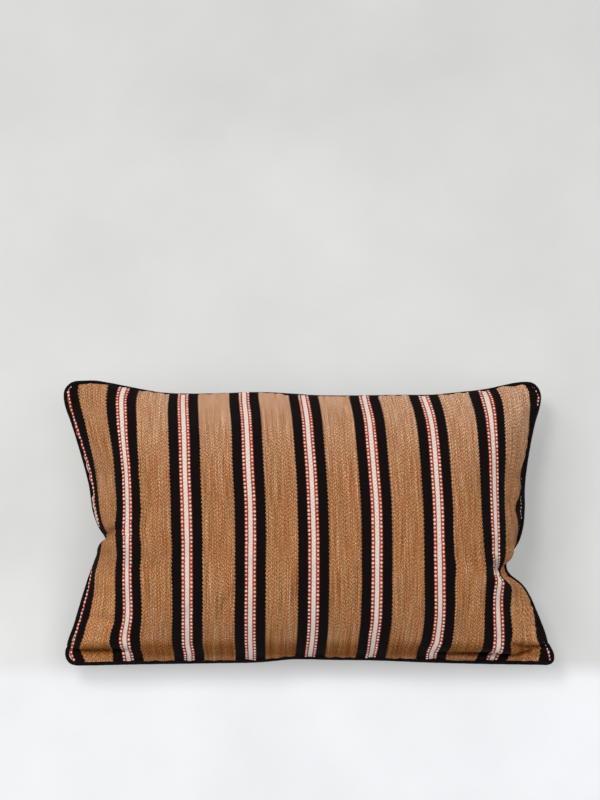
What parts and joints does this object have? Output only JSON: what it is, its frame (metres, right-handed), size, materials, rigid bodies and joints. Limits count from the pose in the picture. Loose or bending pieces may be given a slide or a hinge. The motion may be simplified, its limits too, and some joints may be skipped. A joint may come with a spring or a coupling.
{
  "type": "striped lumbar cushion with corded edge",
  "caption": "Filled rectangular lumbar cushion in a warp-striped woven cover with a dark corded edge, drawn-in sides and pinched folds, lying on its back.",
  "frame": {"origin": "middle of the cushion's box in plan, at the flat spot that it rests on", "axes": "+X along the width to the right of the face, +Y up the stripes, +Z out of the face"},
  "size_m": [0.6084, 0.355, 0.1179],
  "materials": {
    "striped_cotton": "matte",
    "piping_cotton": "matte"
  },
  "bodies": {
    "root": {"cushion": "striped_cotton", "piping": "piping_cotton"}
  },
  "joints": []
}
